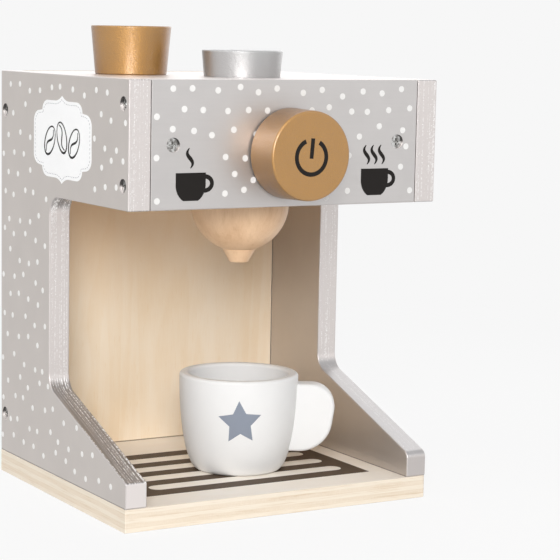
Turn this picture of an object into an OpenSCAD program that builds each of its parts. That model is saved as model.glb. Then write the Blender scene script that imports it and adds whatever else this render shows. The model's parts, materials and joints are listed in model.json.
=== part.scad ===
// Wooden toy coffee maker with two capsules and a cup.
// Millimetres. Z is up, the front faces -Y, and the origin is at the middle of the base's underside.

/* [Body] */
// Overall width
body_w = 180; // [150:1:240]
// Overall depth of the boards, front plane to back plane
body_d = 158; // [140:1:200]
// Height of the boards, floor to top
body_h = 224; // [205:1:280]
// Height of the box that holds the works
head_h = 64; // [56:1:76]
// Gap left at the ends of the boards between the side panels
board_gap = 0.15; // [0.05:0.05:0.3]

/* [Plywood] */
// Thickness of the two side panels
side_t = 12; // [9:0.5:15]
// Thickness of the base board
base_t = 12; // [9:0.5:15]
// Thickness of the front panel
front_t = 12; // [10:0.5:15]
// Thickness of the back panel
back_t = 12; // [10:0.5:15]
// Thickness of the top board
top_t = 12; // [9:0.5:15]
// Thickness of the inner shelf
shelf_t = 12; // [9:0.5:14]

/* [Side panel outline] */
// Depth of the upright part of each side panel
column_d = 65; // [50:1:80]
// Height of each side panel's front edge above the base
foot_h = 13; // [9:1:20]
// Height above the base where the sloping edge would meet the upright
bend_h = 46.5; // [38:0.5:60]
// Radius of the bends between the upright and the edges beside it
bend_r = 10; // [4:1:16]

/* [Shelf] */
// Height of the shelf's underside above the bottom of the head
shelf_up = 26; // [24:1:28]
// Depth of the notch that clears the knob's fastening
notch_d = 10; // [8:0.5:14]
// Space left beside the knob's retaining disc in the notch
notch_clear = 3; // [1:0.5:5]

/* [Knob] */
// Diameter of the knob's front face
knob_front_d = 45; // [36:1:48]
// Diameter of the knob at its back
knob_rear_d = 46; // [36:1:48]
// Length of the knob
knob_l = 21; // [17:1:28]
// Rounding of the knob's front edge
knob_edge_r = 1.2; // [0.6:0.1:2.5]
// Distance of the knob's axis below the middle of the front panel
knob_drop = 5; // [0:0.5:6]
// Diameter of the knob's axle
axle_d = 10; // [8:0.5:12]
// Radial running clearance of the axle in the front panel
axle_clear = 0.06; // [0.02:0.01:0.1]
// Depth of the axle's hole in the knob
axle_seat = 14; // [10:1:15]
// Clearance of turning faces
turn_gap = 0.2; // [0.1:0.05:0.4]
// Diameter of the spacer behind the knob
spacer_d = 38; // [24:1:40]
// Thickness of the spacer
spacer_t = 1; // [0.6:0.1:2]
// Diameter of the retaining disc
retainer_d = 22; // [18:1:24]
// Thickness of the retaining disc
retainer_t = 2; // [1.5:0.5:2.5]

/* [Brew head] */
// Distance of the brew head and capsule hole behind the front plane
brew_setback = 49; // [46:1:56]
// Diameter of the brew head
dome_d = 52; // [42:1:56]
// Distance of the dome's centre below the bottom of the head
dome_drop = 2; // [0:0.5:8]
// Diameter of the spout where it meets the dome
spout_top_d = 17.4; // [14:0.2:22]
// Diameter of the spout's tip
spout_tip_d = 10; // [8:0.2:13]
// Length of the spout below the dome
spout_l = 7; // [5:0.5:14]
// Rounding of the spout's tip
spout_r = 0.8; // [0.3:0.1:1.5]
// Diameter of the peg that holds the spout
peg_d = 8; // [6:0.5:10]
// Length of the peg in the dome
peg_l = 12; // [8:1:16]

/* [Capsules] */
// Diameter of a capsule's top
capsule_top_d = 42.6; // [41:0.2:45]
// Diameter of a capsule's bottom
capsule_bottom_d = 37.8; // [34:0.2:39]
// Height of a capsule
capsule_h = 25.4; // [20:0.2:32]
// Rounding of a capsule's edges
capsule_r = 0.6; // [0.3:0.1:1.5]
// Diameter of the capsule hole in the top board
capsule_hole_d = 40.2; // [39.6:0.2:40.8]
// Gap between the seated capsule and the edge of its hole
capsule_clear = 0.1; // [0.05:0.05:0.3]
// Place of the spare capsule, in from the left side of the body
spare_in = 45; // [36:1:47]
// Place of the spare capsule, behind the front plane
spare_setback = 89; // [80:1:110]

/* [Cup] */
// Diameter of the cup's rim
cup_rim_d = 64.4; // [56:0.2:70]
// Diameter of the cup's foot
cup_foot_d = 43; // [36:1:50]
// Height of the cup
cup_h = 53; // [48:1:64]
// Thickness of the cup's wall at the rim
cup_wall = 5.4; // [3.5:0.1:7]
// Thickness of the cup's floor
cup_floor = 9; // [6:1:14]
// Diameter of the flat floor inside the cup
cup_well_d = 34; // [26:1:38]
// Rounding of the cup's lip
lip_r = 1.8; // [0.8:0.1:2.4]
// Place of the cup to the right of the middle
cup_right = 7.5; // [-10:0.5:12]
// Place of the cup's middle behind the front plane
cup_setback = 60; // [50:1:80]
// Turn of the cup's handle from straight right, clockwise from above
cup_turn = 30; // [0:1:60]

/* [Cup handle] */
// Reach of the handle beyond the rim
handle_reach = 21; // [16:0.5:26]
// Distance from the cup's rim down to the handle's top edge
handle_down = 4.5; // [2:0.5:8]
// Height of the handle
handle_h = 39.3; // [30:0.1:42]
// Distance that the handle's outer edge leans in towards its bottom
handle_lean = 5; // [0:0.5:8]
// Thickness of the handle
handle_t = 12; // [8:0.5:16]
// Rounding of the handle's upper corner
handle_upper_r = 13; // [6:0.5:15]
// Rounding of the handle's lower corner
handle_lower_r = 12; // [6:0.5:14]
// Gap in the glue line between the cup and its handle
glue_gap = 0.05; // [0.02:0.01:0.1]

/* [Screws] */
// Diameter of a screw's head
screw_head_d = 7; // [6:0.2:8]
// Diameter of a screw's shank
screw_d = 3.5; // [3:0.1:4.5]
// Height of a screw's cone
screw_cone_h = 2.2; // [1.6:0.1:3]
// Depth of a screw's head below the wood
screw_sink = 1.2; // [0.6:0.1:2]
// Radial clearance round a screw
screw_clear = 0.1; // [0.05:0.05:0.2]
// Length of the screws in the side panels
side_screw_l = 30; // [22:1:36]
// Length of the screws in the shelf
shelf_screw_l = 30; // [22:1:36]
// Length of the screws in the base
base_screw_l = 26; // [20:1:30]
// Length of the screws in the brew head
brew_screw_l = 25; // [20:1:32]
// Length of the knob's screw
knob_screw_l = 20; // [14:1:24]

/* [Screw places] */
// Distance of the screws in the front panel from the top and bottom of the head
side_screw_end = 12; // [9:0.5:14]
// Distance of the rear side screws from the ends of the back panel
back_screw_end = 21.5; // [17:0.5:30]
// Distance of the shelf's screws from the outside of the body
shelf_screw_in = 24.3; // [20:0.1:34]
// Distance of the brew head's screws from its axis
brew_screw_x = 12; // [9:0.5:18]
// Spacing of the base screws along the side panels
base_screw_step = 50; // [40:1:52]
// Distance of the back panel's base screws from the middle
back_base_screw_x = 45; // [30:1:60]

/* [Dowels] */
// Diameter of the top board's dowels
dowel_d = 6; // [5:0.5:8]
// Depth of a dowel in a side panel
dowel_in_side = 8; // [6:0.5:8.5]
// Depth of a dowel in the top board
dowel_in_top = 16; // [10:1:20]
// Distance of the dowels from the middle of the body
dowel_y = 40; // [34:1:50]
// Radial glue gap round a dowel or peg
dowel_clear = 0.05; // [0.02:0.01:0.1]

/* [Hidden] */

$fn = 64;
LEFT = -1;
RIGHT = 1;
small = 0.01;
arc_steps = 10;
curve_steps = 20;
recess_w = 0.9;
recess_l = 3.8;
recess_d = 1.2;
tip_l = 4;
tip_d = 0.6;

front_y = -body_d / 2;
back_y = body_d / 2;
head_z = body_h - head_h;
inside_x = body_w / 2 - side_t;
board_w = 2 * (inside_x - board_gap);
front_inner_y = front_y + front_t;
back_inner_y = back_y - back_t;
front_mid_y = front_y + front_t / 2;
back_mid_y = back_y - back_t / 2;
top_z = body_h - top_t;
shelf_z = head_z + shelf_up;
shelf_top_z = shelf_z + shelf_t;
shelf_mid_z = shelf_z + shelf_t / 2;
column_y = back_y - column_d;

knob_z = head_z + head_h / 2 - knob_drop;
knob_rear_y = front_y - spacer_t - turn_gap;
axle_front_y = knob_rear_y - axle_seat;
axle_rear_y = front_inner_y + turn_gap;
axle_l = axle_rear_y - axle_front_y;
retainer_rear_y = axle_rear_y + retainer_t;
notch_w = retainer_d + 2 * notch_clear;

brew_y = front_y + brew_setback;
dome_z = head_z - dome_drop;
spout_top_z = dome_z - sqrt(pow(dome_d / 2, 2) - pow(spout_top_d / 2, 2));

capsule_taper = (capsule_top_d - capsule_bottom_d) / capsule_h;
capsule_proud = (capsule_top_d - capsule_hole_d + 2 * capsule_clear) / capsule_taper;
silver_z = body_h + capsule_proud - capsule_h;
spare_x = spare_in - body_w / 2;
spare_y = front_y + spare_setback;

cup_y = front_y + cup_setback;
cup_well_h = cup_h - cup_floor;
handle_top = cup_h - handle_down;
handle_bottom = handle_top - handle_h;
handle_end = cup_rim_d / 2 + handle_reach;

head_top_screw_z = body_h - side_screw_end;
head_low_screw_z = head_z + side_screw_end;
back_high_screw_z = body_h - back_screw_end;
back_low_screw_z = base_t + back_screw_end;
shelf_screw_x = body_w / 2 - shelf_screw_in;
side_mid_x = body_w / 2 - side_t / 2;
top_mid_z = body_h - top_t / 2;

// Outlines

function unit(v) = v / norm(v);

// Points of an arc of radius r that rounds the corner p between a and b
function corner_arc(a, p, b, r) =
    let (
        u = unit(a - p),
        v = unit(b - p),
        half = acos(u * v) / 2,
        centre = p + unit(u + v) * r / sin(half),
        from = p + u * r / tan(half) - centre,
        to = p + v * r / tan(half) - centre,
        start = atan2(from.y, from.x),
        turn = atan2(from.x * to.y - from.y * to.x, from * to)
    )
    [for (i = [0 : arc_steps])
        centre + r * [cos(start + turn * i / arc_steps), sin(start + turn * i / arc_steps)]];

// An outline given as [x, y, radius] corners, with each corner rounded by its radius
function rounded(corners) =
    let (n = len(corners))
    [for (i = [0 : n - 1])
        let (
            p = [corners[i].x, corners[i].y],
            before = corners[(i + n - 1) % n],
            after = corners[(i + 1) % n]
        )
        each corners[i].z == 0 ? [p]
            : corner_arc([before.x, before.y], p, [after.x, after.y], corners[i].z)];

// Quarter ellipse that rises from [r0, 0] to [r1, h], upright at its top
function bowl_curve(r0, r1, h) =
    [for (i = [0 : curve_steps])
        let (a = 90 * i / curve_steps)
        [r0 + (r1 - r0) * sin(a), h * (1 - cos(a))]];

// Fasteners. Each points along -Z with its head's seat at z = 0

module cross_recess(z) {
    for (turn = [0, 90])
        rotate([0, 0, turn])
            translate([-recess_l / 2, -recess_w / 2, z - recess_d])
                cube([recess_l, recess_w, 2 * recess_d]);
}

module screw(l) {
    difference() {
        rotate_extrude()
            polygon([
                [0, -l],
                [tip_d / 2, -l],
                [screw_d / 2, -l + tip_l],
                [screw_d / 2, -screw_sink - screw_cone_h],
                [screw_head_d / 2, -screw_sink],
                [0, -screw_sink]
            ]);
        cross_recess(-screw_sink);
    }
}

module screw_hole(l) {
    bore_r = screw_d / 2 + screw_clear;
    sink_r = screw_head_d / 2 + screw_clear;
    rotate_extrude()
        polygon([
            [0, -l - screw_clear],
            [bore_r, -l - screw_clear],
            [bore_r, -screw_sink - screw_cone_h],
            [sink_r, -screw_sink],
            [sink_r, small],
            [0, small]
        ]);
}

// Places the children at each side screw of one side, pointing into the wood
module at_side_screws(side) {
    for (place = [
        [front_mid_y, head_top_screw_z],
        [front_mid_y, head_low_screw_z],
        [back_mid_y, back_high_screw_z],
        [back_mid_y, back_low_screw_z]
    ])
        translate([side * body_w / 2, place.x, place.y])
            rotate([0, side * 90, 0])
                children();
}

module at_front_screws() {
    for (side = [LEFT, RIGHT])
        translate([side * shelf_screw_x, front_y, shelf_mid_z])
            rotate([90, 0, 0])
                children();
}

module at_rear_shelf_screws() {
    for (side = [LEFT, RIGHT])
        translate([side * shelf_screw_x, back_y, shelf_mid_z])
            rotate([-90, 0, 0])
                children();
}

module at_base_screws() {
    for (side = [LEFT, RIGHT]) {
        for (step = [-1 : 1])
            translate([side * side_mid_x, step * base_screw_step, 0])
                rotate([180, 0, 0])
                    children();
        translate([side * back_base_screw_x, back_mid_y, 0])
            rotate([180, 0, 0])
                children();
    }
}

module at_brew_head_screws() {
    for (side = [LEFT, RIGHT])
        translate([side * brew_screw_x, brew_y, shelf_top_z])
            children();
}

// A dowel lies along X, across the joint between the top board and a side panel
module at_top_dowels(side) {
    for (place = [-dowel_y, dowel_y])
        translate([side * inside_x, place, top_mid_z])
            rotate([0, side * 90, 0])
                children();
}

module dowel_holes(side) {
    at_top_dowels(side)
        translate([0, 0, -dowel_in_top - dowel_clear])
            cylinder(h = dowel_in_top + dowel_in_side + 2 * dowel_clear, d = dowel_d + 2 * dowel_clear);
}

// Boards

module base_board() {
    color("BurlyWood")
        difference() {
            translate([-body_w / 2, front_y, 0])
                cube([body_w, body_d, base_t]);
            at_base_screws() screw_hole(base_screw_l);
        }
}

module side_outline() {
    polygon(rounded([
        [back_y, base_t, 0],
        [front_y, base_t, 0],
        [front_y, base_t + foot_h, 0],
        [column_y, base_t + bend_h, bend_r],
        [column_y, head_z, bend_r],
        [front_y, head_z, 0],
        [front_y, body_h, 0],
        [back_y, body_h, 0]
    ]));
}

module side_panel(side) {
    inner_x = side == LEFT ? -body_w / 2 : inside_x;
    difference() {
        translate([inner_x, 0, 0])
            rotate([90, 0, 90])
                linear_extrude(side_t)
                    side_outline();
        at_side_screws(side) screw_hole(side_screw_l);
        at_base_screws() screw_hole(base_screw_l);
        dowel_holes(side);
    }
}

module left_side_panel() {
    color("Silver") side_panel(LEFT);
}

module right_side_panel() {
    color("Silver") side_panel(RIGHT);
}

module front_panel() {
    color("LightGray")
        difference() {
            translate([-board_w / 2, front_y, head_z])
                cube([board_w, front_t, head_h]);
            translate([0, front_y - small, knob_z])
                rotate([-90, 0, 0])
                    cylinder(h = front_t + 2 * small, d = axle_d + 2 * axle_clear);
            for (side = [LEFT, RIGHT])
                at_side_screws(side) screw_hole(side_screw_l);
            at_front_screws() screw_hole(shelf_screw_l);
        }
}

module back_panel() {
    color("Wheat")
        difference() {
            translate([-board_w / 2, back_inner_y, base_t])
                cube([board_w, back_t, body_h - base_t]);
            for (side = [LEFT, RIGHT])
                at_side_screws(side) screw_hole(side_screw_l);
            at_rear_shelf_screws() screw_hole(shelf_screw_l);
            at_base_screws() screw_hole(base_screw_l);
        }
}

module top_board() {
    color("Gainsboro")
        difference() {
            translate([-board_w / 2, front_inner_y, top_z])
                cube([board_w, back_inner_y - front_inner_y, top_t]);
            translate([0, brew_y, top_z - small])
                cylinder(h = top_t + 2 * small, d = capsule_hole_d, $fn = 96);
            for (side = [LEFT, RIGHT])
                dowel_holes(side);
        }
}

module shelf_board() {
    color("BurlyWood")
        difference() {
            translate([-board_w / 2, front_inner_y, shelf_z])
                cube([board_w, back_inner_y - front_inner_y, shelf_t]);
            translate([-notch_w / 2, front_inner_y - small, shelf_z - small])
                cube([notch_w, notch_d + small, shelf_t + 2 * small]);
            at_front_screws() screw_hole(shelf_screw_l);
            at_rear_shelf_screws() screw_hole(shelf_screw_l);
            at_brew_head_screws() screw_hole(brew_screw_l);
        }
}

// Brew head

module brew_head() {
    color("NavajoWhite")
        difference() {
            translate([0, brew_y, 0])
                rotate_extrude()
                    intersection() {
                        union() {
                            translate([0, dome_z]) circle(d = dome_d, $fn = 96);
                            translate([0, dome_z]) square([dome_d / 2, shelf_z - dome_z]);
                        }
                        translate([0, spout_top_z]) square([dome_d, shelf_z - spout_top_z]);
                    }
            translate([0, brew_y, spout_top_z - small])
                cylinder(h = peg_l + dowel_clear + small, d = peg_d + 2 * dowel_clear);
            at_brew_head_screws() screw_hole(brew_screw_l);
        }
}

module spout() {
    color("NavajoWhite")
        translate([0, brew_y, spout_top_z])
            rotate_extrude()
                polygon(rounded([
                    [0, -spout_l, 0],
                    [spout_tip_d / 2, -spout_l, spout_r],
                    [spout_top_d / 2, 0, 0],
                    [peg_d / 2, 0, 0],
                    [peg_d / 2, peg_l, 0],
                    [0, peg_l, 0]
                ]));
}

// Knob

module knob() {
    color("Peru")
        translate([0, knob_rear_y, knob_z])
            rotate([90, 0, 0])
                difference() {
                    rotate_extrude($fn = 96)
                        polygon(rounded([
                            [0, 0, 0],
                            [knob_rear_d / 2, 0, 0],
                            [knob_front_d / 2, knob_l, knob_edge_r],
                            [0, knob_l, 0]
                        ]));
                    translate([0, 0, -small])
                        cylinder(h = axle_seat + dowel_clear + small, d = axle_d + 2 * dowel_clear);
                }
}

module at_knob_screw() {
    translate([0, retainer_rear_y, knob_z])
        rotate([-90, 0, 0])
            children();
}

module knob_axle() {
    color("BurlyWood")
        difference() {
            translate([0, axle_front_y, knob_z])
                rotate([-90, 0, 0])
                    cylinder(h = axle_l, d = axle_d);
            at_knob_screw() screw_hole(knob_screw_l);
        }
}

module knob_spacer() {
    color("DimGray")
        translate([0, front_y, knob_z])
            rotate([90, 0, 0])
                difference() {
                    cylinder(h = spacer_t, d = spacer_d);
                    translate([0, 0, -small])
                        cylinder(h = spacer_t + 2 * small, d = axle_d + 2 * axle_clear);
                }
}

module knob_retainer() {
    color("Silver")
        difference() {
            translate([0, axle_rear_y, knob_z])
                rotate([-90, 0, 0])
                    cylinder(h = retainer_t, d = retainer_d);
            at_knob_screw()
                translate([0, 0, -retainer_t - small])
                    cylinder(h = retainer_t + 2 * small, d = screw_d + 2 * screw_clear);
        }
}

// The knob's screw has a flat-bottomed head that stands on the retaining disc
module knob_screw() {
    color("Silver")
        at_knob_screw()
            difference() {
                rotate_extrude()
                    polygon([
                        [0, -knob_screw_l],
                        [tip_d / 2, -knob_screw_l],
                        [screw_d / 2, -knob_screw_l + tip_l],
                        [screw_d / 2, 0],
                        [screw_head_d / 2, 0],
                        [screw_head_d / 2, screw_cone_h],
                        [0, screw_cone_h]
                    ]);
                cross_recess(screw_cone_h);
            }
}

// Capsules

module capsule() {
    rotate_extrude($fn = 96)
        polygon(rounded([
            [0, 0, 0],
            [capsule_bottom_d / 2, 0, capsule_r],
            [capsule_top_d / 2, capsule_h, capsule_r],
            [0, capsule_h, 0]
        ]));
}

module gold_capsule() {
    color("Goldenrod")
        translate([spare_x, spare_y, body_h])
            capsule();
}

module silver_capsule() {
    color("LightSteelBlue")
        translate([0, brew_y, silver_z])
            capsule();
}

// Cup. Its own frame has the foot's middle at the origin and the handle along +X

module at_cup() {
    translate([cup_right, cup_y, base_t])
        rotate([0, 0, -cup_turn])
            children();
}

module cup_outside(grow) {
    rotate_extrude($fn = 96)
        polygon(concat(
            [for (p = bowl_curve(cup_foot_d / 2, cup_rim_d / 2, cup_h - lip_r)) p + [grow, 0]],
            corner_arc(
                [cup_rim_d / 2 + grow, 0],
                [cup_rim_d / 2 + grow, cup_h],
                [0, cup_h],
                lip_r
            ),
            [[0, cup_h], [0, 0]]
        ));
}

module cup_inside() {
    mouth_r = cup_rim_d / 2 - cup_wall;
    rotate_extrude($fn = 96)
        polygon(concat(
            [[0, cup_floor]],
            [for (p = bowl_curve(cup_well_d / 2, mouth_r, cup_well_h - lip_r)) p + [0, cup_floor]],
            corner_arc([mouth_r, 0], [mouth_r, cup_h], [cup_rim_d, cup_h], lip_r),
            [[mouth_r + lip_r, cup_h + small], [0, cup_h + small]]
        ));
}

module cup() {
    color("White")
        at_cup()
            difference() {
                cup_outside(0);
                cup_inside();
            }
}

module cup_handle() {
    color("White")
        at_cup()
            difference() {
                translate([0, handle_t / 2, 0])
                    rotate([90, 0, 0])
                        linear_extrude(handle_t)
                            polygon(rounded([
                                [0, handle_bottom, 0],
                                [handle_end - handle_lean, handle_bottom, handle_lower_r],
                                [handle_end, handle_top, handle_upper_r],
                                [0, handle_top, 0]
                            ]));
                cup_outside(glue_gap);
            }
}

// Fasteners in place

module left_side_screws() {
    color("Silver") at_side_screws(LEFT) screw(side_screw_l);
}

module right_side_screws() {
    color("Silver") at_side_screws(RIGHT) screw(side_screw_l);
}

module front_screws() {
    color("Silver") at_front_screws() screw(shelf_screw_l);
}

module rear_shelf_screws() {
    color("Silver") at_rear_shelf_screws() screw(shelf_screw_l);
}

module base_screws() {
    color("Silver") at_base_screws() screw(base_screw_l);
}

module brew_head_screws() {
    color("Silver") at_brew_head_screws() screw(brew_screw_l);
}

module top_dowels() {
    color("BurlyWood")
        for (side = [LEFT, RIGHT])
            at_top_dowels(side)
                translate([0, 0, -dowel_in_top])
                    cylinder(h = dowel_in_top + dowel_in_side, d = dowel_d);
}

base_board();
left_side_panel();
right_side_panel();
front_panel();
back_panel();
top_board();
shelf_board();
brew_head();
spout();
knob();
knob_axle();
knob_spacer();
knob_retainer();
knob_screw();
gold_capsule();
silver_capsule();
cup();
cup_handle();
left_side_screws();
right_side_screws();
front_screws();
rear_shelf_screws();
base_screws();
brew_head_screws();
top_dowels();
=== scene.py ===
"""Looks of a wooden toy coffee maker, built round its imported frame.

It runs as a script and is laid out as an add-on: one operator makes each piece or group of pieces.
Every length is in metres, and MM turns millimetres into metres. The front faces -Y and Z is up.
"""

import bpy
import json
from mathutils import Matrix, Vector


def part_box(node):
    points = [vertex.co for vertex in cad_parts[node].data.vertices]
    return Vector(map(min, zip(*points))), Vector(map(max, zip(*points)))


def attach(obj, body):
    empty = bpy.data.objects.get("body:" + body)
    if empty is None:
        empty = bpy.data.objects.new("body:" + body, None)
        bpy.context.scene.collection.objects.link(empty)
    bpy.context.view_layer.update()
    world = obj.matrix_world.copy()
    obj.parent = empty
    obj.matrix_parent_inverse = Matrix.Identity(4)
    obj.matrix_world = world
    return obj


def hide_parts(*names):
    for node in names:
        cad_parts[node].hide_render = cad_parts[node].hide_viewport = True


bl_info = {
    "name": "Wooden Toy Coffee Maker",
    "version": (1, 0, 0),
    "blender": (4, 5, 0),
    "location": "View3D > Sidebar > Coffee Maker",
    "description": "Builds the boards, prints, turned pieces, cup and stage of a wooden toy coffee maker",
    "category": "Object",
}

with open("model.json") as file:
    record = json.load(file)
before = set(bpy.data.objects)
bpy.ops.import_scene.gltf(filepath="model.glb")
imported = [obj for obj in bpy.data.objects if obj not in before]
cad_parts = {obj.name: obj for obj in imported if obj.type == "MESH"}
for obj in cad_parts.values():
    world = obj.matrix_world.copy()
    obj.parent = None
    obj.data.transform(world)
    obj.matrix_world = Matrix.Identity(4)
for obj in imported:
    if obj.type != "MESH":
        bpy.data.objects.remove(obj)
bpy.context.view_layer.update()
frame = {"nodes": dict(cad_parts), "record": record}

import json
import math
import random
from contextlib import contextmanager
from functools import cache

import bmesh
import bpy
from bpy.props import FloatProperty, FloatVectorProperty, IntProperty, PointerProperty
from mathutils import Matrix, Vector
from mathutils.kdtree import KDTree

MM = 0.001
SAME_PLACE = 1e-7
X, Y, Z = Vector((1, 0, 0)), Vector((0, 1, 0)), Vector((0, 0, 1))
FASTENERS = (
    "left_side_screws", "right_side_screws", "front_screws", "rear_shelf_screws",
    "base_screws", "brew_head_screws", "knob_screw", "knob_axle", "top_dowels",
)


# Sizes and colours


def length(name, description, millimetres):
    """A length property with its default given in millimetres."""
    return FloatProperty(
        name=name, description=description, default=millimetres * MM, precision=5, unit="LENGTH"
    )


def number(name, description, value):
    return FloatProperty(name=name, description=description, default=value)


def angle(name, description, radians):
    return FloatProperty(name=name, description=description, default=radians, subtype="ANGLE")


def colour(name, description, value):
    return FloatVectorProperty(
        name=name, description=description, default=value, subtype="COLOR", min=0, max=1
    )


class CoffeeMakerBoards(bpy.types.PropertyGroup):
    """Sizes of the boards and of what is printed on them."""

    edge_round: length("Edge rounding", "Radius of the boards' sanded edges", 0.7)
    foot_worn: length("Worn foot", "Radius of the right side's worn foot", 3.0)
    base_worn: length("Worn corner", "Radius of the base board's worn corner", 1.5)
    hole_round: length("Hole rounding", "Radius of the rims of the screw holes", 0.7)
    hole_clearance: length("Hole clearance", "Reach of a screw hole round its screw", 2.5)
    layers: IntProperty(name="Layers", description="Veneers in one board", default=5, min=3, max=9)
    print_lift: length("Print lift", "Height of a print above its surface", 0.04)
    print_depth: length("Print depth", "Depth of a print below its surface", 0.2)
    front_dot: length("Front dot", "Diameter of a dot on the front", 3.25)
    side_dot: length("Side dot", "Diameter of a dot on the sides", 3.15)
    front_column: length("Front columns", "Distance between the dots of a row on the front", 12.2)
    front_row: length("Front rows", "Distance between the rows of dots on the front", 10.2)
    side_column: length("Side columns", "Distance between the dots of a row on the sides", 13.5)
    side_row: length("Side rows", "Distance between the rows of dots on the sides", 11.4)
    icon_x: length("Icon place", "Distance of the cup icons' cups from the middle", 54)
    icon_z: length("Icon height", "Height of the top of the cup icons' cups", 178.3)
    badge_y: length("Badge place", "Distance of the badge's middle in front of the middle", 1.5)
    badge_z: length("Badge height", "Height of the badge's middle", 190.4)
    grate_w: length("Grate width", "Width of the printed grate", 134.8)
    grate_d: length("Grate depth", "Depth of the printed grate", 90.5)
    grate_y: length("Grate place", "Distance of the grate's middle in front of the middle", 13.25)
    slot_l: length("Slot length", "Length of the grate's slots", 116.5)
    slot_w: length("Slot width", "Width of the grate's slots", 10)
    slot_step: length("Slot spacing", "Distance between the grate's slots", 19.8)


class CoffeeMakerTurned(bpy.types.PropertyGroup):
    """Sizes of the turned pieces that their boxes don't give."""

    steps: IntProperty(name="Steps", description="Faces round a turned piece", default=128, min=32)
    knob_front: length("Knob front", "Diameter of the knob's front face", 45)
    knob_round: length("Knob rounding", "Radius of the knob's front edge", 1.2)
    capsule_bottom: length("Capsule bottom", "Diameter of a capsule's bottom", 37.8)
    capsule_round: length("Capsule rounding", "Radius of a capsule's edges", 0.8)
    dome_centre: length("Dome centre", "Height of the centre of the brew head's dome", 158)
    spout_tip: length("Spout tip", "Diameter of the spout's tip", 10)
    spout_length: length("Spout length", "Length of the spout below the dome", 7)
    symbol: length("Symbol", "Diameter of the power symbol's ring, at the middle of its line", 17.1)
    symbol_line: length("Symbol line", "Width of the power symbol's lines", 2.2)
    symbol_gap: angle("Symbol gap", "Half of the ring's gap", math.radians(27))
    symbol_turn: angle("Symbol turn", "Turn of the symbol, clockwise", math.radians(4.5))


class CoffeeMakerCup(bpy.types.PropertyGroup):
    """Sizes of the cup that its box doesn't give."""

    foot: length("Foot", "Diameter of the cup's foot", 43)
    wall: length("Wall", "Thickness of the cup's wall at its rim", 5.4)
    floor: length("Floor", "Thickness of the cup's floor", 9)
    well: length("Well", "Diameter of the flat floor inside", 34)
    lip_round: length("Lip", "Radius of the lip's edges", 1.8)
    foot_round: length("Foot rounding", "Radius of the foot's edge", 0.8)
    turn: angle("Turn", "Turn of the handle from +X towards the front", math.radians(30))
    handle_reach: length("Handle reach", "Reach of the handle beyond the rim", 21.9)
    handle_down: length("Handle drop", "Distance of the handle's top edge below the rim", 5.4)
    handle_height: length("Handle height", "Height of the handle", 37)
    handle_lean: length("Handle lean", "Lean of the handle's outer edge", 5.6)
    handle_thick: length("Handle thickness", "Thickness of the handle", 12)
    handle_upper: length("Upper corner", "Radius of the handle's upper corner", 12.5)
    handle_lower: length("Lower corner", "Radius of the handle's lower corner", 17.8)
    handle_round: length("Handle rounding", "Radius of the handle's edges", 1.8)
    star: length("Star", "Distance of the star's points from its middle", 11.9)
    star_side: length("Star place", "Distance of the star's middle from the cup's, to the right", 1.2)
    star_up: length("Star height", "Height of the star's middle above the foot", 30.9)
    star_turn: angle("Star turn", "Tilt of the star, anticlockwise", math.radians(2.6))


class CoffeeMakerColours(bpy.types.PropertyGroup):
    """Colours of the finishes."""

    birch_light: colour("Birch, light", "Light part of the plywood's face", (0.96, 0.83, 0.66))
    birch_dark: colour("Birch, dark", "Dark part of the plywood's face", (0.89, 0.70, 0.475))
    # Colour of the painted shade on the upper inside of the back panel, under the head.
    birch_shaded_top: colour("Birch, mellow", "Darkened upper part of the back panel", (0.90, 0.60, 0.34))
    # The base board's birch is paler than the other boards', and these colours are lighter still: painted
    # light that makes up for the dimmer light on its top.
    base_light: colour("Base, light", "Light part of the base board's face", (1.0, 0.945, 0.865))
    base_dark: colour("Base, dark", "Dark part of the base board's face", (0.97, 0.875, 0.76))
    layer_light: colour("Layer, light", "Light layers of the plywood's edge", (0.905, 0.82, 0.695))
    layer_dark: colour("Layer, dark", "Dark layers of the plywood's edge", (0.72, 0.57, 0.41))
    beech_light: colour("Turned wood, light", "Light part of the turned wood", (0.84, 0.575, 0.36))
    beech_dark: colour("Turned wood, dark", "Dark part of the turned wood", (0.645, 0.385, 0.21))
    front_paint: colour("Front paint", "Silver-grey paint of the front", (0.564, 0.543, 0.534))
    side_paint: colour("Side paint", "Silver-grey paint of the sides", (0.566, 0.524, 0.495))
    edge_paint: colour("Paint on edges", "Paint on the boards' cut edges", (0.695, 0.648, 0.63))
    gold_paint: colour("Gold paint", "Paint of the knob and the loose capsule", (0.383, 0.178, 0.0155))
    silver_metal: colour("Silver paint", "Paint of the seated capsule", (0.38, 0.377, 0.377))
    white_lacquer: colour("White lacquer", "Lacquer of the cup", (0.815, 0.812, 0.807))
    white_ink: colour("White ink", "Dots", (0.79, 0.78, 0.765))
    badge_paper: colour("Badge", "Paper of the badge", (0.97, 0.97, 0.97))
    black_ink: colour("Black ink", "Icons and symbols", (0.013, 0.011, 0.010))
    grate_ink: colour("Grate ink", "Printed grate", (0.1, 0.069, 0.046))
    star_ink: colour("Star ink", "Star on the cup", (0.26, 0.29, 0.35))
    line_ink: colour("Line ink", "Fine line on the badge", (0.42, 0.42, 0.44))


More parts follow.
